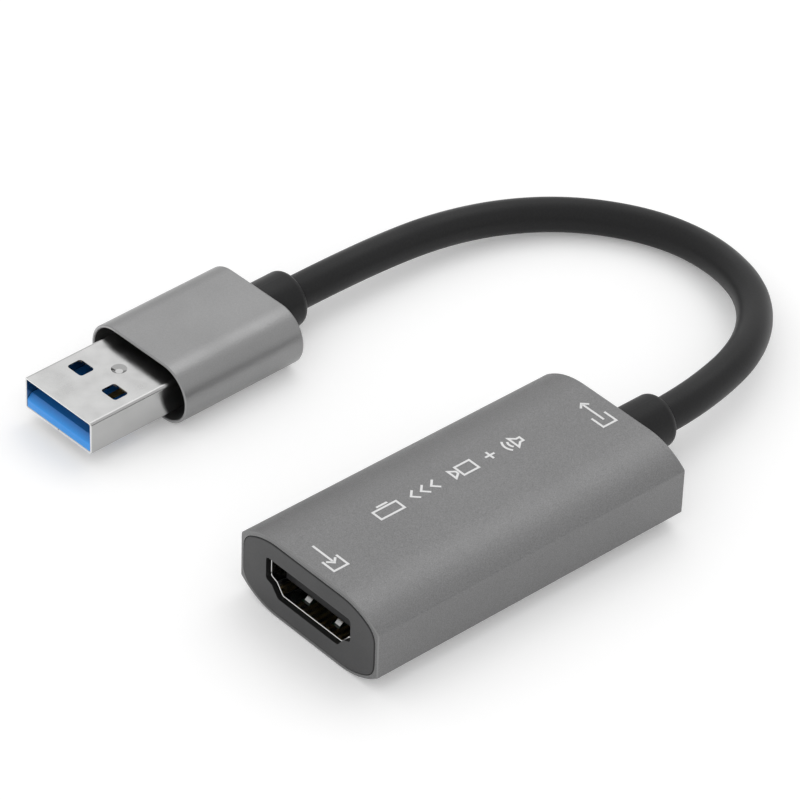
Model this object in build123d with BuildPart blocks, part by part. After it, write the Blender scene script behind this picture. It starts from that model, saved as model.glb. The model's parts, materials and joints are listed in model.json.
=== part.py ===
from build123d import *
import math
import os

# A video capture box: a flat metal case with a video socket in its front end, a short cable
# out of its rear end, and a data plug on the cable. Millimetres. The origin is the centre of
# the case's underside, +X is right, +Y runs to the cable end, +Z is up.

# Case, an extruded tube with a plate in each end
case_width = 23.2
case_length = 46.0
case_height = 10.6
case_wall = 1.0
case_flat_width = 10.8
case_side_height = 5.96
case_crease_radius = 0.4
case_edge_break = 0.15

# End plates
end_rim = 0.5
plate_gap = 0.08
plate_thickness = 1.5
plate_stand_out = 0.1
plate_crease_radius = 2.4
plate_edge_break = 0.1
plate_lip_thickness = 0.6
plate_mouth_gap = 0.12
plate_arm_length = 3.0
plate_arm_height = 2.6
plate_arm_thickness = 0.8
plate_arm_gap = 0.05

# Circuit board and the rails that hold it
board_thickness = 1.2
board_side_gap = 0.1
board_leg_margin = 1.1
board_front_gap = 0.3
board_rear_bay = 3.9
board_top_gap = 0.1
rail_width = 0.8
rail_set_in = 0.7
ledge_thickness = 0.7
ledge_grip = 0.2

# Video socket
mouth_width = 14.0
mouth_height = 4.55
mouth_side_share = 0.26
mouth_knee_shares = (0.86, 0.42)
mouth_floor_share = 0.71
mouth_round = 0.35
socket_sheet = 0.25
socket_length = 11.4
socket_lip_gap = 0.1
socket_lip_break = 0.06
socket_plate_gap = 0.1
finger_window_width = 1.35
finger_window_length = 4.4
finger_window_set_back = 1.1
finger_spacing = 5.1
finger_width = 0.85
finger_rise = 0.35
finger_tip_length = 0.5
finger_tip_drop = 0.35
finger_gap = 0.35
finger_root = 0.3
leg_length = 1.2
leg_spacing = 6.0
leg_set_back = 3.2
leg_depth = 1.1
leg_slot_gap = 0.15

# Insulator and contacts of the socket
tongue_width = 11.2
tongue_thickness = 1.2
tongue_set_back = 0.85
tongue_length = 6.7
tongue_edge_break = 0.2
socket_contact_pitch = 1.0
socket_contact_width = 0.3
socket_contact_thickness = 0.15
socket_contact_set_back = 0.4
socket_contact_tail = 0.45
socket_contact_foot = 0.85
upper_contact_count = 10
lower_contact_count = 9

# Chips and small parts on the board
capture_chip_width = 7.0
capture_chip_length = 7.0
capture_chip_height = 0.9
capture_chip_shares = (0, 0.34)
capture_lead_count = 12
capture_lead_pitch = 0.5
capture_lead_width = 0.22
capture_lead_thickness = 0.12
capture_lead_reach = 0.45
memory_chip_width = 3.9
memory_chip_length = 4.9
memory_chip_height = 1.5
memory_chip_shares = (-0.597, 0.735)
memory_lead_count = 4
memory_lead_pitch = 1.27
memory_lead_width = 0.42
memory_lead_thickness = 0.2
memory_lead_reach = 0.9
crystal_width = 2.5
crystal_length = 3.2
crystal_height = 0.8
crystal_corner_radius = 0.4
crystal_shares = (0.73, 0.4)
regulator_width = 3.5
regulator_length = 3.0
regulator_height = 1.1
regulator_edge_break = 0.25
regulator_shares = (0.645, 0.735)
inductor_size = 4.0
inductor_height = 1.8
inductor_corner_radius = 0.6
inductor_shares = (0.099, 0.735)
capacitor_length = 1.6
capacitor_width = 0.8
capacitor_height = 0.8
capacitor_row_shares = (
    (0.16, (-0.72,)),
    (0.25, (-0.72,)),
    (0.34, (-0.72,)),
    (0.43, (-0.72,)),
    (0.52, (-0.72,)),
    (0.935, (-0.75, -0.5, -0.25, 0, 0.25, 0.5, 0.75)),
)
resistor_length = 1.0
resistor_width = 0.5
resistor_height = 0.35
resistor_column_shares = (
    (0.66, (0.14, 0.19, 0.24)),
    (0.84, (0.14, 0.19, 0.24)),
)
surge_length = 2.5
surge_width = 1.0
surge_height = 0.5
surge_row_share = 0.055
surge_column_shares = (-0.57, -0.19, 0.19, 0.57)

# Cable, its conductors and its strain reliefs
cable_diameter = 4.4
conductor_count = 9
conductor_diameter = 0.6
conductor_circle_radius = 1.35
conductor_first_angle = 10.0
conductor_bend = 0.8
relief_wall = 1.15
plug_relief_wall = 1.4
relief_round = 1.0
relief_neck_wall = 0.45
relief_flange_step = 0.6
relief_flange_thickness = 1.6
relief_hole_gap = 0.05
box_relief_length = 7.2
plug_relief_length = 5.4
crimp_ring_length = 1.5
crimp_ring_wall = 0.3
conductor_lead_out = 1.8
board_pad_pitch = 1.0
board_pad_set_in = 3.6
solder_width = 0.8
solder_length = 1.1
solder_cover = 0.1

# Data plug, placed by the centre of its front face
plug_front_x = -45.37
plug_front_y = -22.32
plug_turn = 1.56
plug_shell_width = 12.0
plug_shell_height = 4.5
plug_shell_length = 18.75
plug_shell_out = 12.2
plug_sheet = 0.3
plug_corner_radius = 0.45
plug_edge_break = 0.08
plug_window_width = 2.6
plug_window_length = 2.1
plug_window_round = 0.4
plug_window_spacing = 6.1
plug_window_set_back = 6.0
plug_dimple_diameter = 1.9
plug_dimple_floor = 0.9
plug_dimple_depth = 0.35
plug_dimple_set_back = 9.25
plug_seam = 0.08
sleeve_width = 17.05
sleeve_height = 8.05
sleeve_length = 18.4
sleeve_wall = 0.4
sleeve_end_wall = 1.0
sleeve_rear_round = 0.35
sleeve_edge_break = 0.12
core_set_back = 3.5
core_gap = 0.05
core_end_wall = 1.0

# Insert and contacts of the plug
insert_gap = 0.05
insert_tongue_height = 1.75
insert_set_back = 0.05
insert_lead_in = 0.7
insert_edge_break = 0.06
insert_block_set_back = 13.5
flat_contact_places = (-3.5, -1.0, 1.0, 3.5)
flat_contact_width = 1.0
flat_contact_thickness = 0.2
flat_contact_set_back = 2.2
flat_contact_stand_out = 0.05
spring_contact_spacing = 2.0
spring_contact_count = 5
spring_contact_width = 0.5
spring_contact_thickness = 0.2
spring_contact_lift = 0.55
spring_contact_reach = 4.0
spring_contact_dip = 0.35
contact_tail_length = 1.6

# One overrun serves every cut
overrun = 1.0

os.makedirs("parts", exist_ok=True)

# Derived sizes
crease_height = (case_height - case_side_height) / 2
shoulder_run = (case_width - case_flat_width) / 2
shoulder_radius = (shoulder_run**2 + crease_height**2) / (2 * crease_height)
case_front = -case_length / 2
case_rear = case_length / 2
plate_inset = end_rim + plate_gap
plate_seat_depth = plate_thickness - plate_stand_out
plate_face_front = case_front - plate_stand_out
plate_face_rear = case_rear + plate_stand_out
plate_back_front = case_front + plate_seat_depth
plate_back_rear = case_rear - plate_seat_depth
socket_front = plate_face_front + plate_lip_thickness + socket_lip_gap
socket_rear = socket_front + socket_length
board_width = mouth_width + 2 * (socket_sheet + leg_slot_gap + board_leg_margin)
wall_radius = shoulder_radius - case_wall
wall_reach = board_width / 2 + board_side_gap - case_flat_width / 2
rail_height = wall_radius - math.sqrt(wall_radius**2 - wall_reach**2)
board_underside = case_wall + rail_height
board_top = board_underside + board_thickness
ledge_underside = board_top + board_top_gap
board_front = plate_back_front + board_front_gap
board_rear = plate_back_rear - board_rear_bay
socket_centre_height = board_top + socket_sheet + mouth_height / 2
cable_exit_height = case_height / 2
relief_neck_diameter = cable_diameter + 2 * relief_neck_wall
relief_flange_diameter = relief_neck_diameter + 2 * relief_flange_step
plug_centre_height = sleeve_height / 2
sleeve_rear = plug_shell_out + sleeve_length
relief_seat = sleeve_rear - sleeve_end_wall
plug_relief_rear = sleeve_rear + plug_relief_length
box_relief_rear = plate_face_rear + box_relief_length
insert_width = plug_shell_width - 2 * plug_sheet - 2 * insert_gap
insert_height = plug_shell_height - 2 * plug_sheet
insert_floor = -insert_height / 2
insert_corner_radius = plug_corner_radius - plug_sheet
insert_top = insert_floor + insert_tongue_height
flat_contact_top = insert_top + flat_contact_stand_out
spring_contact_floor = insert_top + spring_contact_lift

case_frame = Plane.XY
cable_exit_frame = Plane.XY.offset(cable_exit_height)
socket_frame = Plane.XY.offset(socket_centre_height)
plug_frame = Plane(
    origin=(plug_front_x, plug_front_y, plug_centre_height),
    x_dir=(math.cos(math.radians(plug_turn)), math.sin(math.radians(plug_turn)), 0),
    z_dir=(0, 0, 1),
)


def across(frame, y):
    """The plane across a frame's length at y, facing forward, with its own Y upward."""
    return Plane(origin=frame.from_local_coords((0, y, 0)), x_dir=frame.x_dir, z_dir=-frame.y_dir)


def beside(frame, x=0):
    """The plane along a frame's length at x, with its own X rearward and its own Y upward."""
    return Plane(origin=frame.from_local_coords((x, 0, 0)), x_dir=frame.y_dir, z_dir=frame.x_dir)


def case_section(inset, crease_radius=0.0):
    """The case's cross-section, inset all round: flats, shoulder arcs, creases and upright sides."""
    side = case_width / 2 - inset
    centre = case_flat_width / 2
    radius = shoulder_radius - inset
    crease_angle = math.asin((side - centre) / radius)
    middle_angle = crease_angle / 2
    low = shoulder_radius - radius * math.cos(crease_angle)
    half_x = centre + radius * math.sin(middle_angle)
    half_z = shoulder_radius - radius * math.cos(middle_angle)
    with BuildSketch() as section:
        with BuildLine():
            Line((0, inset), (centre, inset))
            ThreePointArc((centre, inset), (half_x, half_z), (side, low))
            Line((side, low), (side, case_height / 2))
            mirror(about=Plane.XZ.offset(-case_height / 2))
            mirror(about=Plane.YZ)
        make_face()
        if crease_radius:
            sides = section.vertices().group_by(Axis.X)
            fillet(sides[0] + sides[-1], radius=crease_radius)
    return section.sketch


def mouth_section(growth):
    """The socket's mouth: wide at the top, drawn in below, grown all round."""
    half = mouth_width / 2
    rise = mouth_height / 2
    knee_x, knee_z = mouth_knee_shares
    right = [
        (half, rise),
        (half, -mouth_side_share * rise),
        (knee_x * half, -knee_z * rise),
        (mouth_floor_share * half, -rise),
    ]
    left = [(-x, z) for x, z in reversed(right)]
    with BuildSketch() as section:
        Polygon(*right, *left, align=None)
        fillet(section.vertices(), radius=mouth_round)
        if growth:
            offset(amount=growth, kind=Kind.ARC)
    return section.sketch


def relief_section(flange_face, wall_face, outer_face, rear_face, body_wall):
    """Half of a strain relief: a flange inside the wall, a neck through it, a body outside."""
    flange = relief_flange_diameter / 2
    neck = relief_neck_diameter / 2
    body = cable_diameter / 2 + body_wall
    outline = [
        (flange_face, 0),
        (flange_face, flange),
        (wall_face, flange),
        (wall_face, neck),
        (outer_face, neck),
        (outer_face, body),
        (rear_face, body),
        (rear_face, 0),
    ]
    with BuildSketch() as section:
        Polygon(*outline, align=None)
        fillet(section.vertices().group_by(Axis.X)[-1].sort_by(Axis.Y)[-1], radius=relief_round)
    return section.sketch


def ring_section(inner_radius, wall):
    """A plain ring."""
    with BuildSketch() as section:
        Circle(inner_radius + wall)
        Circle(inner_radius, mode=Mode.SUBTRACT)
    return section.sketch


def board_place(shares):
    """A place on the board's top, from shares of the half width and length that are free."""
    x_share, y_share = shares
    return (x_share * ledge_inner, free_front + y_share * (free_rear - free_front), board_top)


def conductor_places():
    """Where the conductors stand round the cable's axis, left to right as they spread."""
    step = 360 / conductor_count
    angles = [math.radians(conductor_first_angle + step * i) for i in range(conductor_count)]
    circle = conductor_circle_radius
    return sorted((circle * math.cos(angle), circle * math.sin(angle)) for angle in angles)


def add_conductor(frame, points):
    """Sweep one conductor along straight runs joined by round bends."""
    with BuildLine(frame) as route:
        FilletPolyline(*points, radius=conductor_bend)
    with BuildSketch(Plane(origin=route.line @ 0, z_dir=route.line % 0)) as section:
        Circle(conductor_diameter / 2)
    sweep(sections=section.sketch, path=route.line)


def add_solder(places):
    """Solder blocks under and beside conductor ends that lie along Y, one for each place."""
    height = conductor_diameter / 2 + solder_cover
    lowest = (Align.CENTER, Align.CENTER, Align.MIN)
    with Locations(*places):
        Box(solder_width, solder_length, height, align=lowest)
    lying = [(x, y, z + conductor_diameter / 2) for x, y, z in places]
    along_y = (90, 0, 0)
    with Locations(*lying):
        Cylinder(
            conductor_diameter / 2, solder_length + overrun, rotation=along_y, mode=Mode.SUBTRACT
        )


# Two rails lift the board until its edges just clear the curved walls, two ledges hold it down
ledge_inner = board_width / 2 - ledge_grip
ledge_outer = case_width / 2
rail_centre = board_width / 2 - rail_set_in

# Case: the tube, two floor rails under the board and two ledges over its edges
with BuildPart() as housing:
    with BuildSketch(across(case_frame, case_front)):
        add(case_section(0, case_crease_radius))
        add(case_section(case_wall), mode=Mode.SUBTRACT)
    extrude(amount=-case_length)
    chamfer(housing.faces().sort_by(Axis.Y)[0].outer_wire().edges(), length=case_edge_break)
    chamfer(housing.faces().sort_by(Axis.Y)[-1].outer_wire().edges(), length=case_edge_break)
    with BuildSketch(across(case_frame, case_front + case_edge_break)):
        for side in (-1, 1):
            with Locations((side * rail_centre, 0)):
                Rectangle(rail_width, board_underside, align=(Align.CENTER, Align.MIN))
            with Locations((side * (ledge_inner + ledge_outer) / 2, ledge_underside)):
                Rectangle(
                    ledge_outer - ledge_inner, ledge_thickness, align=(Align.CENTER, Align.MIN)
                )
        add(case_section(case_wall / 2), mode=Mode.INTERSECT)
    extrude(amount=-(case_length - 2 * case_edge_break))
    for plane, direction in (
        (across(case_frame, case_front), -1),
        (across(case_frame, case_rear), 1),
    ):
        with BuildSketch(plane):
            add(case_section(end_rim, plate_crease_radius + plate_gap))
        extrude(amount=direction * plate_seat_depth, mode=Mode.SUBTRACT)
housing.part.label = "housing"
export_step(housing.part, "parts/housing.step")


def add_end_plate(outer_face, back_face):
    """One end plate with its two side arms, which grip the inside of the case."""
    inward = 1 if back_face > outer_face else -1
    arm_x = case_width / 2 - case_wall - plate_arm_gap - plate_arm_thickness / 2
    arm_low = ledge_underside + ledge_thickness + plate_arm_gap
    with BuildSketch(across(case_frame, outer_face)) as outline:
        add(case_section(plate_inset, plate_crease_radius))
    extrude(outline.sketch, amount=-inward * plate_thickness)
    with BuildSketch(across(case_frame, back_face)) as arms:
        with Locations((-arm_x, arm_low), (arm_x, arm_low)):
            Rectangle(plate_arm_thickness, plate_arm_height, align=(Align.CENTER, Align.MIN))
    extrude(arms.sketch, amount=-inward * plate_arm_length)


# Front plate, open where the socket's mouth shows, with a seat behind for the socket's shell
with BuildPart() as front_plate:
    add_end_plate(plate_face_front, plate_back_front)
    chamfer(
        front_plate.faces().sort_by(Axis.Y)[0].outer_wire().edges(), length=plate_edge_break
    )
    with BuildSketch(across(socket_frame, plate_face_front - overrun)):
        add(mouth_section(plate_mouth_gap))
    extrude(amount=-(plate_lip_thickness + 2 * overrun), mode=Mode.SUBTRACT)
    with BuildSketch(across(socket_frame, plate_face_front + plate_lip_thickness)):
        add(mouth_section(socket_sheet + socket_plate_gap))
    extrude(amount=-(plate_thickness + overrun), mode=Mode.SUBTRACT)
front_plate.part.label = "front_plate"
export_step(front_plate.part, "parts/front_plate.step")

# Rear plate, open where the strain relief's neck passes
with BuildPart() as rear_plate:
    add_end_plate(plate_face_rear, plate_back_rear)
    chamfer(
        rear_plate.faces().sort_by(Axis.Y)[-1].outer_wire().edges(), length=plate_edge_break
    )
    with BuildSketch(across(cable_exit_frame, plate_back_rear - overrun)):
        Circle(relief_neck_diameter / 2 + relief_hole_gap)
    extrude(amount=-(plate_thickness + 2 * overrun), mode=Mode.SUBTRACT)
rear_plate.part.label = "rear_plate"
export_step(rear_plate.part, "parts/rear_plate.step")

# Socket shell: folded sheet with four spring fingers and four legs through the board
window_front = socket_front + finger_window_set_back
window_rear = window_front + finger_window_length
finger_front = window_front + finger_gap
sheet_low = -mouth_height / 2 - socket_sheet
sheet_high = -mouth_height / 2
leg_first = socket_front + leg_set_back
leg_places = [
    (side * (mouth_width + socket_sheet) / 2, leg_first + row * leg_spacing)
    for side in (-1, 1)
    for row in (0, 1)
]
leg_foot = board_top - leg_depth
with BuildPart() as socket_shell:
    with BuildSketch(across(socket_frame, socket_front)):
        add(mouth_section(socket_sheet))
        add(mouth_section(0), mode=Mode.SUBTRACT)
    extrude(amount=-socket_length)
    lip = socket_shell.faces().sort_by(Axis.Y)[0].inner_wires()[0]
    chamfer(lip.edges(), length=socket_lip_break)
    with BuildSketch(socket_frame):
        with Locations(
            (-finger_spacing / 2, (window_front + window_rear) / 2),
            (finger_spacing / 2, (window_front + window_rear) / 2),
        ):
            Rectangle(finger_window_width, finger_window_length)
    extrude(amount=mouth_height, both=True, mode=Mode.SUBTRACT)
    for side in (-1, 1):
        with BuildSketch(beside(socket_frame, side * finger_spacing / 2)):
            Polygon(
                (window_rear + finger_root, sheet_low),
                (window_rear, sheet_low),
                (finger_front + finger_tip_length, sheet_low + finger_rise),
                (finger_front, sheet_low + finger_rise - finger_tip_drop),
                (finger_front, sheet_high + finger_rise - finger_tip_drop),
                (finger_front + finger_tip_length, sheet_high + finger_rise),
                (window_rear, sheet_high),
                (window_rear + finger_root, sheet_high),
                align=None,
            )
            mirror(about=Plane.XZ)
        extrude(amount=finger_width / 2, both=True)
    with BuildSketch(Plane.XY.offset(leg_foot)):
        with Locations(*leg_places):
            Rectangle(socket_sheet, leg_length)
    extrude(amount=socket_centre_height - leg_foot)
socket_shell.part.label = "socket_shell"
export_step(socket_shell.part, "parts/socket_shell.step")

# Contacts of the socket: flat on the tongue, down behind the block, out along the board
tongue_front = socket_front + tongue_set_back
tongue_root = tongue_front + tongue_length
contact_front = tongue_front + socket_contact_set_back
contact_rear = socket_rear + socket_contact_tail
contact_foot_rear = contact_rear + socket_contact_foot
tongue_top = socket_centre_height + tongue_thickness / 2
tongue_underside = socket_centre_height - tongue_thickness / 2


def add_socket_contacts(count, strip_low):
    """One row of contacts, whose strips lie between strip_low and their own thickness above."""
    strip_high = strip_low + socket_contact_thickness
    inner_rear = contact_rear - socket_contact_thickness
    foot_high = board_top + socket_contact_thickness
    for index in range(count):
        x = (index - (count - 1) / 2) * socket_contact_pitch
        with BuildSketch(beside(case_frame, x)) as strip:
            Polygon(
                (contact_front, strip_low),
                (inner_rear, strip_low),
                (inner_rear, board_top),
                (contact_foot_rear, board_top),
                (contact_foot_rear, foot_high),
                (contact_rear, foot_high),
                (contact_rear, strip_high),
                (contact_front, strip_high),
                align=None,
            )
        extrude(strip.sketch, amount=socket_contact_width / 2, both=True)


with BuildPart() as socket_upper_contacts:
    add_socket_contacts(upper_contact_count, tongue_top)
socket_upper_contacts.part.label = "socket_upper_contacts"
export_step(socket_upper_contacts.part, "parts/socket_upper_contacts.step")

with BuildPart() as socket_lower_contacts:
    add_socket_contacts(lower_contact_count, tongue_underside - socket_contact_thickness)
socket_lower_contacts.part.label = "socket_lower_contacts"
export_step(socket_lower_contacts.part, "parts/socket_lower_contacts.step")

# Socket insulator: a block in the rear of the shell with a tongue in front
with BuildPart() as socket_insulator:
    with BuildSketch(across(socket_frame, tongue_root)):
        add(mouth_section(0))
    extrude(amount=-(socket_rear - tongue_root))
    with BuildSketch(across(socket_frame, tongue_front)) as tongue:
        Rectangle(tongue_width, tongue_thickness)
    extrude(amount=-tongue_length)
    chamfer(
        socket_insulator.faces().sort_by(Axis.Y)[0].outer_wire().edges(), length=tongue_edge_break
    )
    add(socket_upper_contacts.part, mode=Mode.SUBTRACT)
    add(socket_lower_contacts.part, mode=Mode.SUBTRACT)
socket_insulator.part.label = "socket_insulator"
export_step(socket_insulator.part, "parts/socket_insulator.step")

# Circuit board, slotted for the socket's legs
with BuildPart() as main_board:
    with BuildSketch(Plane.XY.offset(board_underside)):
        with Locations((0, (board_front + board_rear) / 2)):
            Rectangle(board_width, board_rear - board_front)
        with Locations(*leg_places):
            Rectangle(
                socket_sheet + 2 * leg_slot_gap, leg_length + 2 * leg_slot_gap, mode=Mode.SUBTRACT
            )
    extrude(amount=board_thickness)
main_board.part.label = "main_board"
export_step(main_board.part, "parts/main_board.step")

# The board's free length lies between the socket's contacts and the conductors' pads
pad_row = board_rear - board_pad_set_in
free_front = contact_foot_rear
free_rear = pad_row - solder_length / 2
on_board = (Align.CENTER, Align.CENTER, Align.MIN)

# Capture chip, lifted on its leads
capture_lead_length = 2 * capture_lead_reach
with BuildPart() as capture_chip:
    with Locations(board_place(capture_chip_shares)):
        with Locations((0, 0, capture_lead_thickness)):
            Box(capture_chip_width, capture_chip_length, capture_chip_height, align=on_board)
capture_chip.part.label = "capture_chip"
export_step(capture_chip.part, "parts/capture_chip.step")

with BuildPart() as capture_chip_leads:
    with Locations(board_place(capture_chip_shares)):
        with GridLocations(capture_chip_width, capture_lead_pitch, 2, capture_lead_count):
            Box(capture_lead_length, capture_lead_width, capture_lead_thickness, align=on_board)
        with GridLocations(capture_lead_pitch, capture_chip_length, capture_lead_count, 2):
            Box(capture_lead_width, capture_lead_length, capture_lead_thickness, align=on_board)
capture_chip_leads.part.label = "capture_chip_leads"
export_step(capture_chip_leads.part, "parts/capture_chip_leads.step")

# Memory chip, lifted on its leads
with BuildPart() as memory_chip:
    with Locations(board_place(memory_chip_shares)):
        with Locations((0, 0, memory_lead_thickness)):
            Box(memory_chip_width, memory_chip_length, memory_chip_height, align=on_board)
memory_chip.part.label = "memory_chip"
export_step(memory_chip.part, "parts/memory_chip.step")

with BuildPart() as memory_chip_leads:
    with Locations(board_place(memory_chip_shares)):
        with GridLocations(memory_chip_width, memory_lead_pitch, 2, memory_lead_count):
            Box(2 * memory_lead_reach, memory_lead_width, memory_lead_thickness, align=on_board)
memory_chip_leads.part.label = "memory_chip_leads"
export_step(memory_chip_leads.part, "parts/memory_chip_leads.step")

# Crystal in its metal can
with BuildPart() as clock_crystal:
    with Locations(board_place(crystal_shares)):
        Box(crystal_width, crystal_length, crystal_height, align=on_board)
    fillet(clock_crystal.edges().filter_by(Axis.Z), radius=crystal_corner_radius)
clock_crystal.part.label = "clock_crystal"
export_step(clock_crystal.part, "parts/clock_crystal.step")

# Voltage regulator
with BuildPart() as voltage_regulator:
    with Locations(board_place(regulator_shares)):
        Box(regulator_width, regulator_length, regulator_height, align=on_board)
    chamfer(voltage_regulator.faces().sort_by(Axis.Z)[-1].edges(), length=regulator_edge_break)
voltage_regulator.part.label = "voltage_regulator"
export_step(voltage_regulator.part, "parts/voltage_regulator.step")

# Power inductor
with BuildPart() as power_inductor:
    with Locations(board_place(inductor_shares)):
        Box(inductor_size, inductor_size, inductor_height, align=on_board)
    fillet(power_inductor.edges().filter_by(Axis.Z), radius=inductor_corner_radius)
power_inductor.part.label = "power_inductor"
export_step(power_inductor.part, "parts/power_inductor.step")

# Small parts in rows and columns
capacitor_places = [
    board_place((column, row)) for row, columns in capacitor_row_shares for column in columns
]
with BuildPart() as ceramic_capacitors:
    with Locations(*capacitor_places):
        Box(capacitor_length, capacitor_width, capacitor_height, align=on_board)
ceramic_capacitors.part.label = "ceramic_capacitors"
export_step(ceramic_capacitors.part, "parts/ceramic_capacitors.step")

resistor_places = [
    board_place((column, row)) for column, rows in resistor_column_shares for row in rows
]
with BuildPart() as chip_resistors:
    with Locations(*resistor_places):
        Box(resistor_length, resistor_width, resistor_height, align=on_board)
chip_resistors.part.label = "chip_resistors"
export_step(chip_resistors.part, "parts/chip_resistors.step")

surge_places = [board_place((column, surge_row_share)) for column in surge_column_shares]
with BuildPart() as surge_protectors:
    with Locations(*surge_places):
        Box(surge_length, surge_width, surge_height, align=on_board)
surge_protectors.part.label = "surge_protectors"
export_step(surge_protectors.part, "parts/surge_protectors.step")

# Strain relief at the case: flange behind the rear plate, neck in its hole, body outside
box_flange_face = plate_back_rear - relief_flange_thickness
with BuildPart() as box_strain_relief:
    with BuildSketch(beside(cable_exit_frame)):
        add(
            relief_section(
                box_flange_face, plate_back_rear, plate_face_rear, box_relief_rear, relief_wall
            )
        )
    revolve(axis=Axis(cable_exit_frame.origin, cable_exit_frame.y_dir))
box_strain_relief.part.label = "box_strain_relief"
export_step(box_strain_relief.part, "parts/box_strain_relief.step")

# Crimp rings round the conductors, against each relief's flange
crimp_inner_radius = conductor_circle_radius + conductor_diameter / 2 + relief_hole_gap
with BuildPart() as box_crimp_ring:
    with BuildSketch(across(cable_exit_frame, box_flange_face)):
        add(ring_section(crimp_inner_radius, crimp_ring_wall))
    extrude(amount=crimp_ring_length)
box_crimp_ring.part.label = "box_crimp_ring"
export_step(box_crimp_ring.part, "parts/box_crimp_ring.step")

# Conductors from the relief down to the board
pad_x = [(i - (conductor_count - 1) / 2) * board_pad_pitch for i in range(conductor_count)]
lying_height = board_top + conductor_diameter / 2
with BuildPart() as board_wires:
    for end_x, (start_x, start_z) in zip(pad_x, conductor_places()):
        start_height = cable_exit_height + start_z
        route_points = [
            (start_x, box_flange_face, start_height),
            (start_x, box_flange_face - conductor_lead_out, start_height),
            (end_x, pad_row + solder_length, lying_height),
            (end_x, pad_row - solder_length / 2, lying_height),
        ]
        add_conductor(case_frame, route_points)
board_wires.part.label = "board_wires"
export_step(board_wires.part, "parts/board_wires.step")

with BuildPart() as board_solder_joints:
    add_solder([(x, pad_row, board_top) for x in pad_x])
board_solder_joints.part.label = "board_solder_joints"
export_step(board_solder_joints.part, "parts/board_solder_joints.step")

# Plug shell: folded sheet with windows above and below, a dimple above and a seam below
plug_axis = Axis(plug_frame.origin, plug_frame.y_dir)
with BuildPart() as plug_shell:
    with BuildSketch(across(plug_frame, 0)):
        RectangleRounded(plug_shell_width, plug_shell_height, plug_corner_radius)
        RectangleRounded(
            plug_shell_width - 2 * plug_sheet,
            plug_shell_height - 2 * plug_sheet,
            plug_corner_radius - plug_sheet,
            mode=Mode.SUBTRACT,
        )
    extrude(amount=-plug_shell_length)
    chamfer(plug_shell.faces().sort_by(plug_axis)[0].edges(), length=plug_edge_break)
    with BuildSketch(plug_frame):
        with Locations(
            (-plug_window_spacing / 2, plug_window_set_back),
            (plug_window_spacing / 2, plug_window_set_back),
        ):
            RectangleRounded(plug_window_width, plug_window_length, plug_window_round)
    extrude(amount=plug_shell_height, both=True, mode=Mode.SUBTRACT)
    dimple_high = plug_shell_height / 2
    for high, mode in ((dimple_high - plug_sheet, Mode.ADD), (dimple_high, Mode.SUBTRACT)):
        with BuildSketch(plug_frame.offset(high)):
            with Locations((0, plug_dimple_set_back)):
                Circle(plug_dimple_diameter / 2)
        with BuildSketch(plug_frame.offset(high - plug_dimple_depth)):
            with Locations((0, plug_dimple_set_back)):
                Circle(plug_dimple_floor / 2)
        loft(mode=mode)
    with BuildSketch(plug_frame.offset(-plug_shell_height / 2)):
        with Locations((0, plug_shell_length / 2)):
            Rectangle(plug_seam, plug_shell_length + 2 * overrun)
    extrude(amount=plug_sheet, mode=Mode.SUBTRACT)
plug_shell.part.label = "plug_shell"
export_step(plug_shell.part, "parts/plug_shell.step")

# Contacts of the plug: four flat strips on the tongue, five sprung ones behind and above
tail_rear = plug_shell_length + contact_tail_length
with BuildPart() as plug_flat_contacts:
    with BuildSketch(plug_frame.offset(flat_contact_top - flat_contact_thickness)):
        for x in flat_contact_places:
            with Locations((x, (flat_contact_set_back + tail_rear) / 2)):
                Rectangle(flat_contact_width, tail_rear - flat_contact_set_back)
    extrude(amount=flat_contact_thickness)
plug_flat_contacts.part.label = "plug_flat_contacts"
export_step(plug_flat_contacts.part, "parts/plug_flat_contacts.step")

spring_places = [
    (i - (spring_contact_count - 1) / 2) * spring_contact_spacing
    for i in range(spring_contact_count)
]
spring_front = insert_block_set_back - spring_contact_reach
spring_middle = insert_block_set_back - spring_contact_reach / 2
spring_top = spring_contact_floor + spring_contact_thickness
with BuildPart() as plug_spring_contacts:
    for x in spring_places:
        with BuildSketch(beside(plug_frame, x)):
            Polygon(
                (tail_rear, spring_contact_floor),
                (insert_block_set_back, spring_contact_floor),
                (spring_middle, spring_contact_floor - spring_contact_dip),
                (spring_front, spring_contact_floor),
                (spring_front, spring_top),
                (spring_middle, spring_top - spring_contact_dip),
                (insert_block_set_back, spring_top),
                (tail_rear, spring_top),
                align=None,
            )
        extrude(amount=spring_contact_width / 2, both=True)
plug_spring_contacts.part.label = "plug_spring_contacts"
export_step(plug_spring_contacts.part, "parts/plug_spring_contacts.step")

# Plug insert: a tongue on the floor of the shell and a block that fills its rear
with BuildPart() as plug_insulator:
    with BuildSketch(across(plug_frame, insert_set_back)) as tongue:
        with Locations((0, insert_floor)):
            Rectangle(insert_width, insert_tongue_height, align=(Align.CENTER, Align.MIN))
        fillet(tongue.vertices().group_by(Axis.Y)[0], radius=insert_corner_radius)
    extrude(amount=-(plug_shell_length - insert_set_back))
    tongue_front_face = plug_insulator.faces().sort_by(plug_axis)[0]
    chamfer(tongue_front_face.edges().sort_by(Axis.Z)[-1], length=insert_lead_in)
    chamfer(plug_insulator.faces().sort_by(plug_axis)[0].edges(), length=insert_edge_break)
    with BuildSketch(across(plug_frame, insert_block_set_back)):
        RectangleRounded(insert_width, insert_height, insert_corner_radius)
    extrude(amount=-(plug_shell_length - insert_block_set_back))
    add(plug_flat_contacts.part, mode=Mode.SUBTRACT)
    add(plug_spring_contacts.part, mode=Mode.SUBTRACT)
plug_insulator.part.label = "plug_insulator"
export_step(plug_insulator.part, "parts/plug_insulator.step")

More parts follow.
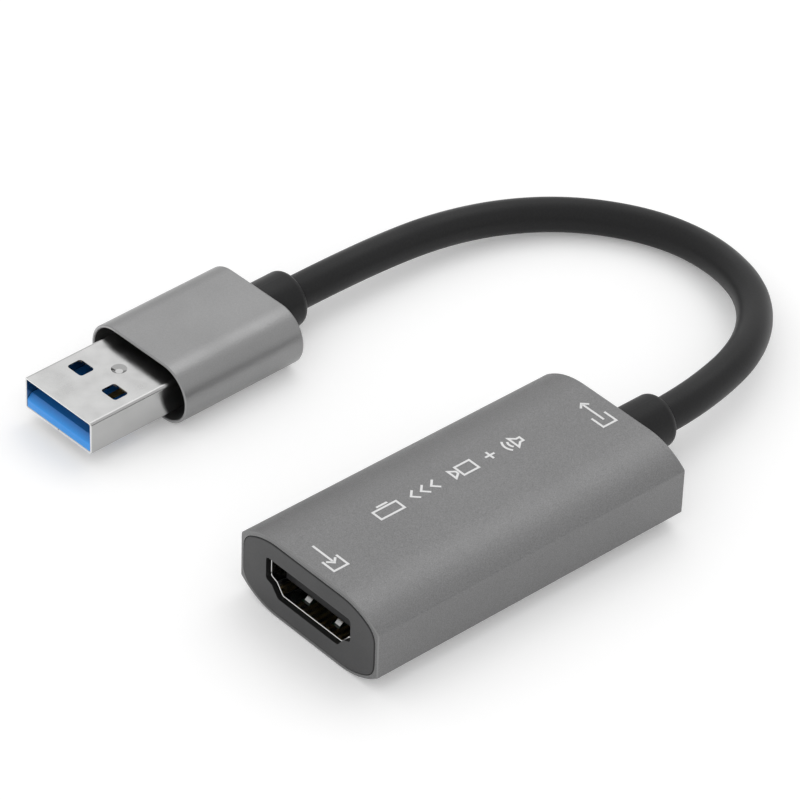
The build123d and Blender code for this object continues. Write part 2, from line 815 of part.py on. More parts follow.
# Plug sleeve: a metal cup with round sides, open to the front
with BuildPart() as plug_sleeve:
    with BuildSketch(across(plug_frame, plug_shell_out)):
        SlotOverall(sleeve_width, sleeve_height)
    extrude(amount=-sleeve_length)
    fillet(plug_sleeve.faces().sort_by(plug_axis)[-1].edges(), radius=sleeve_rear_round)
    chamfer(plug_sleeve.faces().sort_by(plug_axis)[0].edges(), length=sleeve_edge_break)
    with BuildSketch(across(plug_frame, plug_shell_out)):
        SlotOverall(sleeve_width - 2 * sleeve_wall, sleeve_height - 2 * sleeve_wall)
    extrude(amount=-(sleeve_length - sleeve_end_wall), mode=Mode.SUBTRACT)
    sleeve_lip = plug_sleeve.faces().sort_by(plug_axis)[0].inner_wires()[0]
    chamfer(sleeve_lip.edges(), length=sleeve_edge_break)
    with BuildSketch(across(plug_frame, relief_seat - overrun)):
        Circle(relief_neck_diameter / 2 + relief_hole_gap)
    extrude(amount=-(sleeve_end_wall + 2 * overrun), mode=Mode.SUBTRACT)
plug_sleeve.part.label = "plug_sleeve"
export_step(plug_sleeve.part, "parts/plug_sleeve.step")

# Plug core: a black body that carries the shell and shelters the soldered conductors
core_front = plug_shell_out + core_set_back
core_rear = relief_seat - relief_flange_thickness
core_inset = sleeve_wall + core_gap
with BuildPart() as plug_core:
    with BuildSketch(across(plug_frame, core_front)):
        SlotOverall(sleeve_width - 2 * core_inset, sleeve_height - 2 * core_inset)
    extrude(amount=-(core_rear - core_front))
    with BuildSketch(across(plug_frame, core_front)):
        RectangleRounded(plug_shell_width, plug_shell_height, plug_corner_radius)
    extrude(amount=-(core_rear - core_end_wall - core_front), mode=Mode.SUBTRACT)
    with BuildSketch(across(plug_frame, core_rear - core_end_wall - overrun)):
        Circle(crimp_inner_radius + crimp_ring_wall + relief_hole_gap)
    extrude(amount=-(core_end_wall + 2 * overrun), mode=Mode.SUBTRACT)
plug_core.part.label = "plug_core"
export_step(plug_core.part, "parts/plug_core.step")

# Strain relief at the plug: flange inside the sleeve, neck through its end wall
with BuildPart() as plug_strain_relief:
    with BuildSketch(beside(plug_frame)):
        add(
            relief_section(core_rear, relief_seat, sleeve_rear, plug_relief_rear, plug_relief_wall)
        )
    revolve(axis=plug_axis)
plug_strain_relief.part.label = "plug_strain_relief"
export_step(plug_strain_relief.part, "parts/plug_strain_relief.step")

with BuildPart() as plug_crimp_ring:
    with BuildSketch(across(plug_frame, core_rear)):
        add(ring_section(crimp_inner_radius, crimp_ring_wall))
    extrude(amount=crimp_ring_length)
plug_crimp_ring.part.label = "plug_crimp_ring"
export_step(plug_crimp_ring.part, "parts/plug_crimp_ring.step")

# Conductors from the plug's relief to the contact tails: the lower ones to the flat contacts
solder_row = tail_rear - solder_length / 2
lower_places = [place for place in conductor_places() if place[1] < 0]
upper_places = [place for place in conductor_places() if place[1] > 0]
tail_places = [(x, flat_contact_top) for x in flat_contact_places]
tail_places += [(x, spring_top) for x in spring_places]
with BuildPart() as plug_wires:
    for (end_x, tail_top), (start_x, start_z) in zip(tail_places, lower_places + upper_places):
        end_z = tail_top + conductor_diameter / 2
        route_points = [
            (start_x, core_rear, start_z),
            (start_x, core_rear - conductor_lead_out, start_z),
            (end_x, tail_rear + solder_length, end_z),
            (end_x, solder_row - solder_length / 2, end_z),
        ]
        add_conductor(plug_frame, route_points)
plug_wires.part.label = "plug_wires"
export_step(plug_wires.part, "parts/plug_wires.step")

with BuildPart(plug_frame) as plug_solder_joints:
    add_solder([(x, solder_row, z) for x, z in tail_places])
plug_solder_joints.part.label = "plug_solder_joints"
export_step(plug_solder_joints.part, "parts/plug_solder_joints.step")

# Cable jacket: straight out of the case, round in one loop to the floor, straight into the plug
cable_lead_in = 12.2
plug_end = plug_frame.from_local_coords((0, plug_relief_rear, 0))
plug_lead = plug_frame.from_local_coords((0, plug_relief_rear + cable_lead_in, 0))
cable_route = [
    (0, box_relief_rear, cable_exit_height),
    (0, 36.3, cable_exit_height),
    (-3.2, 48.5, 5.0),
    (-11.6, 57.6, 3.55),
    (-22.4, 61.0, 2.5),
    (-32.4, 59.0, 2.15),
    (-41.2, 51.6, 2.4),
    (-46.0, 40.1, 3.15),
    plug_lead,
    plug_end,
]


def bend_radii(points):
    """The largest arcs that the runs allow: 0.45 of the shorter run over half the turn."""
    arc_share = 0.45
    corners = [Vector(point) for point in points]
    radii = []
    for before, here, after in zip(corners, corners[1:], corners[2:]):
        run_in = here - before
        run_out = after - here
        half_turn = math.radians(run_in.get_angle(run_out)) / 2
        radii.append(arc_share * min(run_in.length, run_out.length) / math.tan(half_turn))
    return radii


cable_bends = bend_radii(cable_route)
with BuildPart() as cable_jacket:
    with BuildLine() as cable_line:
        FilletPolyline(*cable_route, radius=cable_bends)
    with BuildSketch(Plane(origin=cable_line.line @ 0, z_dir=cable_line.line % 0)):
        Circle(cable_diameter / 2)
    sweep()
cable_jacket.part.label = "cable_jacket"
export_step(cable_jacket.part, "parts/cable_jacket.step")

cable_length = sum(edge.length for edge in cable_line.edges())
cable_section = math.pi * cable_diameter**2 / 4
print("bend radii", [round(radius, 1) for radius in cable_bends])
print("cable length", round(cable_length, 2))
print("volume over section times length", cable_jacket.part.volume / (cable_section * cable_length))
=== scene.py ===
import json
import math

import bmesh
import bpy
from mathutils import Matrix, Vector


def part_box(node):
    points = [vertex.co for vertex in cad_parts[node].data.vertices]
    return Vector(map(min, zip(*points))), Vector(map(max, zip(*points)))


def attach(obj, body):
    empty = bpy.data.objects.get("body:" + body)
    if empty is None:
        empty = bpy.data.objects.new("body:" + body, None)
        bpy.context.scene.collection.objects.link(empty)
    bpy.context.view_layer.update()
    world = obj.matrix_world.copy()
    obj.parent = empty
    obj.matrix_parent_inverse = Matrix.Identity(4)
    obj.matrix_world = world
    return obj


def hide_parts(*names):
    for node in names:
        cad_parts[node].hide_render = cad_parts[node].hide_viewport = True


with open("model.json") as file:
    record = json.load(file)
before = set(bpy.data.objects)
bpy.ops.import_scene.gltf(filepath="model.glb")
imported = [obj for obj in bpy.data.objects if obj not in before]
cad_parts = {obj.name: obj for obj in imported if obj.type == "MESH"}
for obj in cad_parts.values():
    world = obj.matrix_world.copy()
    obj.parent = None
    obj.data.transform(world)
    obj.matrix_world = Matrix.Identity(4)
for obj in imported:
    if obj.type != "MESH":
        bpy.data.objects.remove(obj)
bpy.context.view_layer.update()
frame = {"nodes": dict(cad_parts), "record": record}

nodes = frame["nodes"]
mm = 0.001

# Camera, fitted to the photograph
camera_azimuth = 47.51
camera_elevation = 37.36
camera_roll = 2.06
camera_distance = 564.0 * mm
camera_target = Vector((-26.60, 13.88, 0)) * mm
camera_focal_pixels = 4796.0
camera_sight = 10.0
photo_width = 800
sensor_width = 36.0

# Cable, as in the part's source: its route, its diameter and where it leaves the case
cable_diameter = 4.4 * mm
cable_spline_order = 3
cable_route_steps = 24
cable_section_steps = 12
cable_route = [
    (0, 30.3, 5.3),
    (0, 36.3, 5.3),
    (-3.2, 48.5, 5.0),
    (-11.6, 57.6, 3.55),
    (-22.4, 61.0, 2.5),
    (-32.4, 59.0, 2.15),
    (-41.2, 51.6, 2.4),
    (-46.0, 40.1, 3.15),
    (-46.68, 25.85, 4.025),
    (-46.35, 13.67, 4.025),
]

# Painted highlights along the cut edges in front of the plug's shell and sleeve and of the socket's
# shell, the tip in millimetres
plug_turn = math.radians(1.56)
plug_direction = Vector((-math.sin(plug_turn), math.cos(plug_turn), 0))
plug_tip = Vector((-45.37, -22.32, 0))
shell_reach = 12.2 * mm
plug_front = plug_direction.dot(plug_tip) * mm
sleeve_front = plug_front + shell_reach
socket_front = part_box("socket_shell")[0].y
box_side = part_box("housing")[0].x
shell_highlight_depth = 0.12 * mm
sleeve_highlight_depth = 0.08 * mm

# A lighter line at both ends of the case, a bare machined edge together with a painted glint, which
# fades in along the outer edge's small break
case_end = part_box("housing")[1].y
edge_line_inner = 0.15 * mm
edge_line_fade = 0.04 * mm

# Height range over which painted shade darkens the plug's blue insert
insert_painted_shade_start = 3.1 * mm
insert_painted_shade_end = 4.2 * mm

# Grey on the end plates' outward faces only, and near black deeper in, also on the walls of the
# opening
plate_face = -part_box("front_plate")[0].y
face_colour_depth = 0.1 * mm

# Range that a noise value usually keeps to
noise_low = 0.3
noise_high = 0.7

# Slow patches of shade in the grained finishes
patch_size = 7 * mm
patch_share = 0.04
patch_shade = 0.6

# Rolling lines and stains in the plated sheet
rolling_pitch = 0.05 * mm
rolling_stretch = 60
rolling_depth = 0.0006 * mm
stain_size = 3 * mm
stain_detail = 3
stain_shade = 0.94
stain_gloss_drop = 0.05
stain_gloss_rise = 0.08

# Printed signs on the case's top, drawn in millimetres
case_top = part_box("housing")[1].z
ink_thickness = 0.02 * mm
weld_distance = 0.001 * mm
print_line = 0.28
arc_steps = 8
arrow_head = 0.65
input_sign_place = (-0.2, -20.3)
output_sign_place = (-0.4, 20.1)
flow_sign_place = (-2.3, -0.3)

# Where each shape of the long sign stands along it, and the size of its chevrons
speaker_u = -9.8
plus_u = -5.9
film_camera_u = -1.9
chevron_tips_u = (2.9, 4.4, 5.9)
chevron_size = 0.8
screen_u = 9.4

# Floor and lights
white = (1, 1, 1)
floor_size = 3.0
floor_colour = (0.9, 0.9, 0.9)
floor_roughness = 0.9
floor_specular = 0.1
floor_glow = 0.2
world_strength = 0.87
lamp_distance = 1.0

# Sockets of the mix node for each kind of value: the first, the second and the result
mix_sockets = {"FLOAT": (2, 3, 0), "RGBA": (6, 7, 2)}

# Every material made below, by its name
finishes = {}


def add_object(name, data):
    """A new object with the given data, linked to the scene."""
    item = bpy.data.objects.new(name, data)
    bpy.context.scene.collection.objects.link(item)
    return item


def add_mesh(name, mesh):
    """A new object from a bmesh, which is then freed."""
    data = bpy.data.meshes.new(name)
    mesh.to_mesh(data)
    mesh.free()
    return add_object(name, data)


def aim(azimuth, elevation):
    """The unit vector from the object towards a place seen at that azimuth and elevation."""
    turn = math.radians(azimuth)
    rise = math.radians(elevation)
    level = math.cos(rise)
    return Vector((level * math.sin(turn), -level * math.cos(turn), math.sin(rise)))


def make_camera():
    """The camera at the photograph's viewing angle, with its slight roll."""
    turn = math.radians(camera_azimuth)
    roll = math.radians(camera_roll)
    back = aim(camera_azimuth, camera_elevation)
    level = Vector((math.cos(turn), math.sin(turn), 0))
    upright = back.cross(level)
    right = level * math.cos(roll) + upright * math.sin(roll)
    up = upright * math.cos(roll) - level * math.sin(roll)
    lens = bpy.data.cameras.new("photo_camera")
    lens.sensor_width = sensor_width
    lens.lens = camera_focal_pixels / photo_width * sensor_width
    lens.clip_end = camera_sight
    camera = add_object("photo_camera", lens)
    place = Matrix((right, up, back)).transposed().to_4x4()
    place.translation = camera_target + camera_distance * back
    camera.matrix_world = place
    bpy.context.scene.camera = camera


def make_cable():
    """The free stretch of cable as one smooth spline with a round section."""
    curve = bpy.data.curves.new("cable", "CURVE")
    curve.dimensions = "3D"
    curve.bevel_depth = 1.0
    curve.bevel_resolution = cable_section_steps
    curve.resolution_u = cable_route_steps
    curve.use_fill_caps = True
    spline = curve.splines.new("NURBS")
    spline.points.add(len(cable_route) - 1)
    for point, place in zip(spline.points, cable_route):
        point.co = (*(Vector(place) * mm), 1)
        point.radius = cable_diameter / 2
    spline.order_u = cable_spline_order
    spline.use_endpoint_u = True
    return add_object("cable", curve)


def feed(tree, socket, value):
    """Link another node's output to a socket, or set the socket to a number, vector or colour."""
    if isinstance(value, bpy.types.NodeSocket):
        tree.links.new(value, socket)
    elif socket.type == "RGBA":
        socket.default_value = (*value, 1)
    else:
        socket.default_value = value


def add_node(tree, kind, inputs, **settings):
    """A new shader node with its settings, and its inputs fed by their names or numbers."""
    node = tree.nodes.new("ShaderNode" + kind)
    for name, setting in settings.items():
        setattr(node, name, setting)
    for name, value in inputs.items():
        feed(tree, node.inputs[name], value)
    return node


def shader_input(material, name):
    """One of the inputs of a material's shader."""
    return material.node_tree.nodes["Principled BSDF"].inputs[name]


def set_input(material, name, value):
    """Set or link one of the inputs of a material's shader."""
    feed(material.node_tree, shader_input(material, name), value)


def new_surface(name, colour, roughness, metallic=0.0):
    """A new material with one colour and one roughness, kept among the finishes."""
    material = bpy.data.materials.new(name)
    material.use_nodes = True
    set_input(material, "Metallic", metallic)
    set_input(material, "Roughness", roughness)
    set_input(material, "Base Color", colour)
    finishes[name] = material
    return material


def place_in_part(tree):
    """The place of a point in the part, in metres."""
    return tree.nodes.new("ShaderNodeTexCoord").outputs["Object"]


def place_along(tree, axis):
    """How far a point lies along X, Y or Z of the part, or along the plug, in metres."""
    place = place_in_part(tree)
    if axis == "plug":
        along = add_node(tree, "VectorMath", {0: place, 1: plug_direction}, operation="DOT_PRODUCT")
        return along.outputs["Value"]
    return add_node(tree, "SeparateXYZ", {"Vector": place}).outputs[axis]


def noise(tree, size, detail=2.0, stretch=(1, 1, 1)):
    """Noise in the part's own space: features of about that size in metres times the stretch."""
    scale = [1 / (size * share) for share in stretch]
    mapping = add_node(tree, "Mapping", {"Vector": place_in_part(tree), "Scale": scale})
    inputs = {"Vector": mapping.outputs["Vector"], "Scale": 1.0, "Detail": detail}
    return add_node(tree, "TexNoise", inputs).outputs["Fac"]


def calculate(tree, operation, *values):
    """The result of a math node on numbers or other nodes' outputs."""
    return add_node(tree, "Math", dict(enumerate(values)), operation=operation).outputs["Value"]


def spread(tree, value, low, high, start=noise_low, end=noise_high):
    """A value from start to end, or a noise's from its usual range, mapped onto low to high."""
    ends = {"From Min": start, "From Max": end, "To Min": low, "To Max": high}
    return add_node(tree, "MapRange", {"Value": value, **ends}).outputs["Result"]


def blend(tree, factor, first, second, kind="RGBA"):
    """The first where the factor is zero, the second where it is one, and a mix in between."""
    first_socket, second_socket, result = mix_sockets[kind]
    inputs = {"Factor": factor, first_socket: first, second_socket: second}
    return add_node(tree, "Mix", inputs, data_type=kind).outputs[result]


def add_bump(material, height, depth):
    """Relief of the given depth in metres."""
    inputs = {"Distance": depth, "Strength": 1.0, "Height": height}
    bump = add_node(material.node_tree, "Bump", inputs)
    set_input(material, "Normal", bump.outputs["Normal"])


def scale_colour(colour, share):
    """The same colour darker or lighter, with no channel over one."""
    return tuple(min(1.0, channel * share) for channel in colour)


def tint(material, factor, colour):
    """The material's own colour where the factor is one, and the given colour where it is zero."""
    own = shader_input(material, "Base Color").links[0].from_socket
    set_input(material, "Base Color", blend(material.node_tree, factor, colour, own))


def grained(
    name, colour, roughness, grain, speck, depth=0.003 * mm, metallic=0.0, gloss_spread=0.05
):
    """A surface with fine grain in its colour and relief, and slow changes of shade and gloss."""
    material = new_surface(name, colour, roughness, metallic)
    tree = material.node_tree
    fine = noise(tree, grain)
    slow = noise(tree, patch_size)
    dark = scale_colour(colour, 1 - speck)
    light = scale_colour(colour, 1 + speck)
    specks = blend(tree, spread(tree, fine, 0, 1), dark, light)
    patches = spread(tree, slow, 0, patch_share)
    shaded = blend(tree, patches, specks, scale_colour(colour, patch_shade))
    set_input(material, "Base Color", shaded)
    gloss = spread(tree, slow, roughness - gloss_spread, roughness + gloss_spread)
    set_input(material, "Roughness", gloss)
    add_bump(material, fine, depth)
    return material


def rolled_steel(name, colour, roughness):
    """Plated sheet: faint rolling lines, and soft stains in its shade and gloss."""
    material = new_surface(name, colour, roughness, metallic=1.0)
    tree = material.node_tree
    lines = noise(tree, rolling_pitch, stretch=(1, rolling_stretch, 1))
    stains = noise(tree, stain_size, detail=stain_detail)
    shaded = blend(tree, spread(tree, stains, 0, 1), colour, scale_colour(colour, stain_shade))
    set_input(material, "Base Color", shaded)
    gloss = spread(tree, stains, roughness - stain_gloss_drop, roughness + stain_gloss_rise)
    set_input(material, "Roughness", gloss)
    add_bump(material, lines, rolling_depth)
    return material


def paint_sleeve_edge_highlight(material, colour):
    """Painted highlight: a brighter line round the cut edge at the mouth of the plug's sleeve."""
    tree = material.node_tree
    edge_end = sleeve_front + sleeve_highlight_depth
    behind = spread(tree, place_along(tree, "plug"), 0, 1, sleeve_front, edge_end)
    tint(material, behind, colour)


def paint_shell_edge_highlights(material, colour):
    """Painted highlights: a brighter colour along the cut edges at the front of the plug's shell and
    of the socket's shell.
    """
    tree = material.node_tree
    plug_highlight_end = plug_front + shell_highlight_depth
    socket_highlight_end = socket_front + shell_highlight_depth
    behind_plug = spread(tree, place_along(tree, "plug"), 0, 1, plug_front, plug_highlight_end)
    behind_lip = spread(tree, place_along(tree, "Y"), 0, 1, socket_front, socket_highlight_end)
    in_box = spread(tree, place_along(tree, "X"), 0, 1, 2 * box_side, box_side)
    tint(material, blend(tree, in_box, behind_plug, behind_lip, kind="FLOAT"), colour)


def case_edge_wear_and_glint(material, colour):
    """A lighter line along the outer edge at both ends of the case: a bare machined edge together
    with a painted glint.
    """
    tree = material.node_tree
    reach = calculate(tree, "ABSOLUTE", place_along(tree, "Y"))
    edge_line_start = case_end - edge_line_inner
    inside = spread(tree, reach, 1, 0, edge_line_start, edge_line_start + edge_line_fade)
    outside = spread(tree, reach, 0, 1, case_end - edge_line_fade, case_end)
    tint(material, calculate(tree, "MAXIMUM", inside, outside), colour)


def paint_insert_shade(material, colour):
    """Painted shade: a deeper blue on the upper side of the plug's insert, where the shell's mouth
    shades it.
    """
    tree = material.node_tree
    height = place_along(tree, "Z")
    tint(material, spread(tree, height, 1, 0, insert_painted_shade_start, insert_painted_shade_end), colour)


def colour_plate_faces_and_walls(material, deeper_colour):
    """The material's own colour on the end plates' outward faces only, and the given near black
    deeper in, such as on the opening's walls.
    """
    tree = material.node_tree
    reach = calculate(tree, "ABSOLUTE", place_along(tree, "Y"))
    tint(material, spread(tree, reach, 0, 1, plate_face - face_colour_depth, plate_face), deeper_colour)


def circuit_board(name):
    """Dark green solder mask, where short straight tracks show as lighter, raised lines."""
    mask = (0.003, 0.02, 0.009)
    track = (0.006, 0.036, 0.016)
    field_contrast = 1.3
    field_size = 1.4 * mm
    track_width_share = 0.12
    track_height = 0.03 * mm
    coat = 0.4
    material = new_surface(name, mask, roughness=0.35)
    fields = {
        "Vector": place_in_part(material.node_tree),
        "Scale": 1 / field_size,
        "Mortar Size": track_width_share,
        "Color1": mask,
        "Color2": scale_colour(mask, field_contrast),
        "Mortar": track,
    }
    bricks = add_node(material.node_tree, "TexBrick", fields)
    set_input(material, "Base Color", bricks.outputs["Color"])
    add_bump(material, bricks.outputs["Fac"], track_height)
    set_input(material, "Coat Weight", coat)


def wire_colours(name):
    """Wire insulation whose colour changes from one conductor to the next."""
    red = (0.5, 0.05, 0.04)
    pale = (0.6, 0.6, 0.58)
    green = (0.03, 0.3, 0.08)
    black = (0.02, 0.02, 0.02)
    blue = (0.05, 0.12, 0.5)
    colours = [red, pale, green, black, blue]
    cycle = 5 * mm
    unevenness_size = 0.4 * mm
    unevenness_depth = 0.01 * mm
    material = new_surface(name, red, roughness=0.35)
    tree = material.node_tree
    across = calculate(tree, "PINGPONG", place_along(tree, "X"), cycle)
    ramp = add_node(tree, "ValToRGB", {"Fac": spread(tree, across, 0, 1, 0, cycle)})
    ramp.color_ramp.interpolation = "CONSTANT"
    steps = ramp.color_ramp.elements
    steps[1].position = 1 / len(colours)
    for index in range(2, len(colours)):
        steps.new(index / len(colours))
    for step, colour in zip(steps, colours):
        step.color = (*colour, 1)
    set_input(material, "Base Color", ramp.outputs["Color"])
    add_bump(material, noise(tree, unevenness_size), unevenness_depth)


def make_finishes():
    """The material of every slot, and the ink of the signs."""
    case_metal = grained(
        "case_metal", (0.206, 0.206, 0.207), roughness=0.38, metallic=1.0,
        grain=0.13 * mm, speck=0.16, depth=0.045 * mm, gloss_spread=0.015,
    )
    # Machined edge and painted glint along the case's end edges
    case_edge_wear_and_glint(case_metal, (0.26, 0.26, 0.26))
    sleeve_metal = grained(
        "sleeve_metal", (0.275, 0.275, 0.276), roughness=0.33, metallic=0.8,
        grain=0.14 * mm, speck=0.05, depth=0.02 * mm,
    )
    # Painted highlight round the sleeve's mouth
    paint_sleeve_edge_highlight(sleeve_metal, (0.42, 0.42, 0.42))
    plate_plastic = grained(
        "plate_plastic", (0.043, 0.043, 0.044), roughness=0.5,
        grain=0.2 * mm, speck=0.08, depth=0.006 * mm,
    )
    colour_plate_faces_and_walls(plate_plastic, (0.004, 0.004, 0.004))
    bright_steel = rolled_steel("bright_steel", (0.46, 0.46, 0.457), roughness=0.2)
    # Painted highlights along the shells' cut edges
    paint_shell_edge_highlights(bright_steel, (0.85, 0.85, 0.84))
    black_plastic = grained(
        "black_plastic", (0.005, 0.005, 0.0055), roughness=0.35, grain=0.15 * mm, speck=0.2,
    )
    set_input(black_plastic, "Specular IOR Level", 0.25)
    blue_plastic = grained(
        "blue_plastic", (0.03, 0.33, 0.9), roughness=0.35, grain=0.2 * mm, speck=0.04,
    )
    # Painted shade on the insert's upper side
    paint_insert_shade(blue_plastic, (0.006, 0.08, 0.33))
    cable_rubber = grained(
        "cable_rubber", (0.012, 0.012, 0.0125), roughness=0.42,
        grain=0.25 * mm, speck=0.15, depth=0.006 * mm,
    )
    set_input(cable_rubber, "Specular IOR Level", 0.22)
    grained(
        "contact_metal", (0.85, 0.62, 0.25), roughness=0.4, metallic=1.0,
        grain=0.1 * mm, speck=0.06, depth=0.001 * mm,
    )
    grained(
        "chip_resin", (0.02, 0.02, 0.022), roughness=0.55,
        grain=0.1 * mm, speck=0.3, depth=0.01 * mm,
    )
    grained(
        "lead_metal", (0.62, 0.62, 0.6), roughness=0.3, metallic=1.0,
        grain=0.1 * mm, speck=0.08, depth=0.002 * mm,
    )
    rolled_steel("can_metal", (0.58, 0.56, 0.5), roughness=0.25)
    grained(
        "ferrite", (0.09, 0.09, 0.095), roughness=0.7,
        grain=0.12 * mm, speck=0.3, depth=0.02 * mm,
    )
    grained(
        "ceramic", (0.35, 0.22, 0.12), roughness=0.5,
        grain=0.1 * mm, speck=0.15, depth=0.004 * mm,
    )
    grained(
        "resistor_body", (0.03, 0.03, 0.035), roughness=0.3,
        grain=0.1 * mm, speck=0.2, depth=0.004 * mm,
    )
    grained(
        "solder", (0.6, 0.6, 0.58), roughness=0.3, metallic=1.0,
        grain=0.15 * mm, speck=0.1, depth=0.01 * mm,
    )
    circuit_board("board_laminate")
    wire_colours("wire_plastic")
    grained(
        "print_ink", (0.78, 0.78, 0.78), roughness=0.55,
        grain=0.1 * mm, speck=0.06, depth=0.003 * mm,
    )


def dress_nodes():
    """Each node of the part gets the finish of its slot."""
    for entry in frame["record"]["subparts"]:
        piece = nodes[entry["node"]]
        finish = finishes[entry["material_slot"]]
        if piece.material_slots:
            for slot in piece.material_slots:
                slot.material = finish
        else:
            piece.data.materials.append(finish)


def ribbon(points, closed=False):
    """A printed line through the points, as quads with mitred corners."""
    half = print_line / 2
    line = [Vector(point) for point in points]
    runs = [(after - here).normalized() for here, after in zip(line, line[1:] + line[:1])]
    sides = []
    for index, here in enumerate(line):
        run_in = runs[index - 1] if index or closed else runs[0]
        run_out = runs[index] if index < len(line) - 1 or closed else run_in
        square = Vector((-run_in.y, run_in.x))
        mitre = square + Vector((-run_out.y, run_out.x))
        offset = mitre * half / mitre.dot(square)
        sides.append((here + offset, here - offset))
    ends = sides[1:] + sides[:1] if closed else sides[1:]
    quads = []
    for (left, right), (next_left, next_right) in zip(sides, ends):
        quads.append((left, right, next_right, next_left))
    return quads


def shifted(quads, u):
    """The same quads further along the sign."""
    return [[corner + Vector((u, 0)) for corner in quad] for quad in quads]


def rectangle(left, bottom, right, top):
    """A closed printed rectangle."""
    return ribbon([(left, bottom), (right, bottom), (right, top), (left, top)], closed=True)


def arc(centre_u, radius, half_angle):
    """A printed arc that opens towards the sign's start."""
    points = []
    for step in range(arc_steps + 1):
        angle = math.radians(half_angle * (2 * step / arc_steps - 1))
        points.append((centre_u + radius * math.cos(angle), radius * math.sin(angle)))
    return ribbon(points)


def chevron(tip_u, size):
    """A printed chevron that points to the sign's end."""
    return ribbon([(tip_u - size, -size), (tip_u, 0), (tip_u - size, size)])


def arrow(start_u, tip_u):
    """An arrow along the sign: its shaft stops where the head's inner corner is."""
    neck_u = tip_u - print_line * math.sqrt(0.5)
    return ribbon([(start_u, 0), (neck_u, 0)]) + chevron(tip_u, arrow_head)


def open_frame(side):
    """A frame at the sign's end, or with side -1 at its start, which is open towards the middle."""
    near = side * 0.4
    far = side * 2.4
    top = 1
    return ribbon([(near, top), (far, top), (far, -top), (near, -top)])


def loudspeaker():
    """A loudspeaker's outline with two waves of sound."""
    back = -0.9
    neck = -0.4
    mouth = 0.3
    neck_half = 0.35
    mouth_half = 0.95
    wave_centre = 0.1
    wave_half_angle = 40
    near_wave = 0.85
    far_wave = 1.5
    lower = [(back, -neck_half), (neck, -neck_half), (mouth, -mouth_half)]
    upper = [(mouth, mouth_half), (neck, neck_half), (back, neck_half)]
    shapes = ribbon(lower + upper, closed=True)
    for radius in (near_wave, far_wave):
        shapes += arc(wave_centre, radius, wave_half_angle)
    return shapes


def plus():
    """A plus, whose upright line is in two parts so that no two quads overlap."""
    reach = 0.7
    half = print_line / 2
    level = ribbon([(-reach, 0), (reach, 0)])
    return level + ribbon([(0, half), (0, reach)]) + ribbon([(0, -reach), (0, -half)])


def film_camera():
    """A camera's body with its funnel-shaped lens."""
    body = rectangle(left=-1.6, bottom=-0.85, right=0.6, top=0.85)
    lens = [(0.95, -0.2), (1.7, -0.75), (1.7, 0.75), (0.95, 0.2)]
    return body + ribbon(lens, closed=True)


def screen():
    """A screen with its foot."""
    panel = rectangle(left=-1.7, bottom=-0.5, right=1.7, top=1)
    foot = [(-0.8, -0.95), (0.8, -0.95)]
    return panel + ribbon(foot)


def flow_of_signs():
    """A line from sound and camera, by three chevrons, to a screen."""
    shapes = shifted(loudspeaker(), speaker_u)
    shapes += shifted(plus(), plus_u)
    shapes += shifted(film_camera(), film_camera_u)
    for tip_u in chevron_tips_u:
        shapes += chevron(tip_u, chevron_size)
    return shapes + shifted(screen(), screen_u)


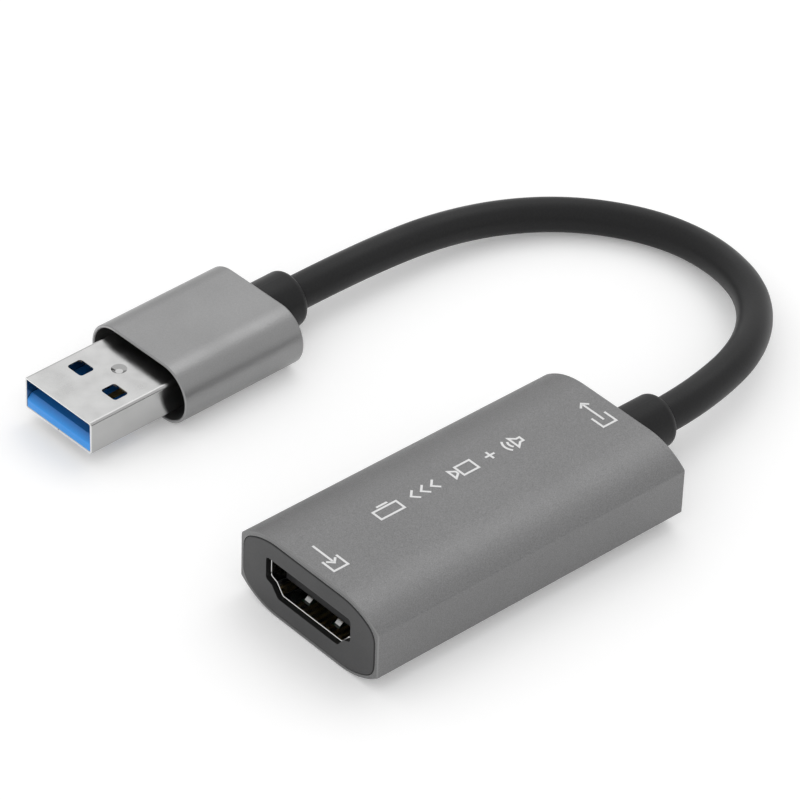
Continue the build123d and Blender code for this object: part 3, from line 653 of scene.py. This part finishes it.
def make_sign(name, quads, place, turn):
    """A thin printed sign on the case's top, from flat quads in millimetres."""
    cosine = math.cos(math.radians(turn))
    sine = math.sin(math.radians(turn))
    mesh = bmesh.new()
    for quad in quads:
        corners = []
        for u, v in quad:
            x = place[0] + u * cosine - v * sine
            y = place[1] + u * sine + v * cosine
            corners.append(mesh.verts.new((x * mm, y * mm, case_top)))
        mesh.faces.new(corners)
    bmesh.ops.remove_doubles(mesh, verts=list(mesh.verts), dist=weld_distance)
    bmesh.ops.recalc_face_normals(mesh, faces=list(mesh.faces))
    raised = bmesh.ops.extrude_face_region(mesh, geom=list(mesh.faces))
    lifted = [item for item in raised["geom"] if isinstance(item, bmesh.types.BMVert)]
    bmesh.ops.translate(mesh, vec=(0, 0, ink_thickness), verts=lifted)
    bmesh.ops.recalc_face_normals(mesh, faces=list(mesh.faces))
    sign = add_mesh(name, mesh)
    sign.data.materials.append(finishes["print_ink"])
    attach(sign, "root")


def make_floor():
    """A plain pale floor that runs out of sight, and glows a little where it is seen."""
    mesh = bmesh.new()
    bmesh.ops.create_grid(mesh, x_segments=1, y_segments=1, size=floor_size)
    floor = add_mesh("floor", mesh)
    material = new_surface("floor_paper", floor_colour, floor_roughness)
    set_input(material, "Specular IOR Level", floor_specular)
    tree = material.node_tree
    path = tree.nodes.new("ShaderNodeLightPath").outputs
    seen = calculate(tree, "MAXIMUM", path["Is Camera Ray"], path["Is Glossy Ray"])
    set_input(material, "Emission Strength", calculate(tree, "MULTIPLY", seen, floor_glow))
    set_input(material, "Emission Color", white)
    floor.data.materials.append(material)


def make_world():
    """An even white surround."""
    world = bpy.data.worlds.new("studio")
    world.use_nodes = True
    surround = world.node_tree.nodes["Background"]
    feed(world.node_tree, surround.inputs["Color"], white)
    feed(world.node_tree, surround.inputs["Strength"], world_strength)
    bpy.context.scene.world = world


def add_lamp(name, azimuth, elevation, size, power):
    """A square soft light aimed at the object."""
    lamp = bpy.data.lights.new(name, "AREA")
    lamp.size = size
    lamp.energy = power
    light = add_object(name, lamp)
    towards = aim(azimuth, elevation)
    light.location = camera_target + towards * lamp_distance
    light.rotation_euler = towards.to_track_quat("Z", "Y").to_euler()


make_camera()
cable = make_cable()
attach(cable, "root")
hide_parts("cable_jacket")

make_finishes()
dress_nodes()
cable.data.materials.append(finishes["cable_rubber"])

into_frame = open_frame(side=1) + arrow(start_u=-2.4, tip_u=1.3)
out_of_frame = open_frame(side=-1) + arrow(start_u=-1.4, tip_u=2.4)
make_sign("input_sign", into_frame, input_sign_place, turn=0)
make_sign("output_sign", out_of_frame, output_sign_place, turn=180)
make_sign("flow_sign", flow_of_signs(), flow_sign_place, turn=-90)

make_floor()
make_world()
add_lamp("key_light", azimuth=-160, elevation=56, size=0.6, power=1.1)
add_lamp("plug_light", azimuth=-125, elevation=37.6, size=0.3, power=0.16)

bpy.context.scene.view_settings.view_transform = "Standard"
